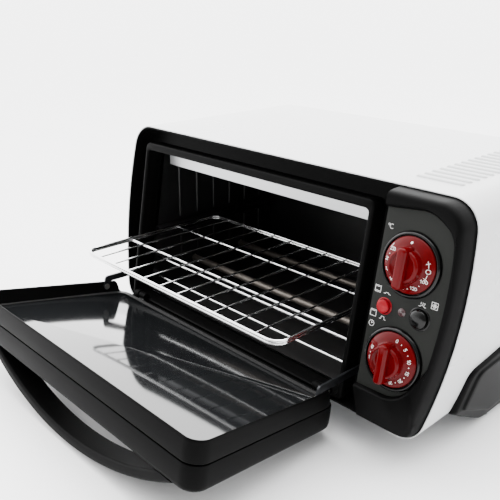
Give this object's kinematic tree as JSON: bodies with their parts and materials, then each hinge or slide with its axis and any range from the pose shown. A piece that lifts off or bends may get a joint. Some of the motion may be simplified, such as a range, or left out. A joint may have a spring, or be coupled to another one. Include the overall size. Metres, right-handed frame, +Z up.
{
  "type": "toaster oven",
  "caption": "Countertop toaster oven: curved sheet casing on two side feet, leaning front, let-down glass door with bow handle, wire rack, red control knobs and push buttons.",
  "frame": {"origin": "on the table under the middle of the whole object, with the door let down", "axes": "+Z up, front and open door towards -Y, controls on the +X side"},
  "size_m": [0.432, 0.46, 0.2301],
  "materials": {
    "white_paint": "gloss enamel",
    "black_moulding": "satin moulded",
    "galvanised_steel": "galvanised sheet",
    "cavity_steel": "dark coated sheet",
    "bright_steel": "bright rolled",
    "heater_sheath": "oxidised tube",
    "ceramic": "unglazed",
    "chrome_wire": "chrome plated",
    "door_glass": "tempered, polished",
    "window_glass": "tempered, tinted",
    "seal_rubber": "silicone",
    "gland_rubber": "moulded",
    "pad_rubber": "moulded",
    "zinc_fastener": "zinc plated",
    "stay_steel": "plated strip",
    "thermostat_case": "pressed housing",
    "switch_plastic": "moulded",
    "knob_red": "polished",
    "button_red": "polished",
    "button_black": "polished",
    "lamp_lens": "polished"
  },
  "bodies": {
    "oven_body": {"base_plate": "galvanised_steel", "bracket_screws": "zinc_fastener", "cable_gland": "gland_rubber", "cavity_liner": "cavity_steel", "ceramic_bushes": "ceramic", "control_bracket": "galvanised_steel", "foot_pads": "pad_rubber", "foot_screws": "zinc_fastener", "front_bezel": "black_moulding", "function_switch": "switch_plastic", "guard_wires": "chrome_wire", "heat_shield": "galvanised_steel", "knob_rings": "black_moulding", "lower_heating_tubes": "heater_sheath", "outer_casing": "white_paint", "pilot_lamp": "lamp_lens", "rack_guide_left": "cavity_steel", "rack_guide_right": "cavity_steel", "rear_panel": "galvanised_steel", "rear_panel_screws": "zinc_fastener", "rear_spacer": "black_moulding", "side_foot_left": "black_moulding", "side_foot_right": "black_moulding", "steam_switch": "switch_plastic", "terminal_block": "switch_plastic", "thermostat_body": "thermostat_case", "timer_body": "thermostat_case", "top_reflector": "bright_steel", "upper_heating_tubes": "heater_sheath"},
    "door": {"door_shell": "black_moulding", "door_frame": "black_moulding", "hinge_pins": "zinc_fastener", "door_glass": "door_glass", "door_seal": "seal_rubber", "glass_clips": "zinc_fastener", "door_window": "window_glass", "door_handle": "black_moulding", "handle_screws": "zinc_fastener", "stay_rivets": "zinc_fastener"},
    "stay_left": {"stay_arm_left": "stay_steel"},
    "stay_right": {"stay_arm_right": "stay_steel"},
    "rack": {"wire_rack": "chrome_wire"},
    "thermostat": {"thermostat_knob": "knob_red", "thermostat_shaft": "zinc_fastener"},
    "timer": {"timer_knob": "knob_red", "timer_shaft": "zinc_fastener"},
    "function_push": {"function_button": "button_red"},
    "steam_push": {"steam_button": "button_black"}
  },
  "joints": [
    {"name": "door_hinge", "type": "hinge", "parent": "oven_body", "child": "door", "pos_m": [-0.0363, -0.0425, 0.0373], "axis": [-1, 0, 0], "range_deg": [0, 90]},
    {"name": "rack_slide", "type": "slide", "parent": "oven_body", "child": "rack", "axis": [0, 1, 0], "range_m": [0, 0.0881]},
    {"name": "stay_left_pivot", "type": "hinge", "parent": "door", "child": "stay_left", "pos_m": [-0.1959, -0.07537, 0.05112], "axis": [1, 0, 0], "range_deg": [0, 78.03]},
    {"name": "stay_right_pivot", "type": "hinge", "parent": "door", "child": "stay_right", "pos_m": [0.1233, -0.07537, 0.05112], "axis": [1, 0, 0], "range_deg": [0, 78.03]},
    {"name": "thermostat_turn", "type": "hinge", "parent": "oven_body", "child": "thermostat", "pos_m": [0.1715, -0.0316, 0.17457], "axis": [0, 0.9863, -0.165], "range_deg": [0, 270]},
    {"name": "timer_turn", "type": "hinge", "parent": "oven_body", "child": "timer", "pos_m": [0.1715, -0.04444, 0.0978], "axis": [0, 0.9863, -0.165], "range_deg": [0, 300]},
    {"name": "function_press", "type": "slide", "parent": "oven_body", "child": "function_push", "axis": [0, 0.9863, -0.165], "range_m": [0, 0.003], "stiffness_N_per_m": 400, "springref_m": -0.002},
    {"name": "steam_press", "type": "slide", "parent": "oven_body", "child": "steam_push", "axis": [0, 0.9863, -0.165], "range_m": [0, 0.003], "stiffness_N_per_m": 400, "springref_m": -0.002}
  ],
  "couplings": [
    {"joint": "rack_slide", "follows": "door_hinge", "m_per_rad": 0.056023},
    {"joint": "stay_left_pivot", "follows": "door_hinge", "ratio": 0.867},
    {"joint": "stay_right_pivot", "follows": "door_hinge", "ratio": 0.867}
  ]
}
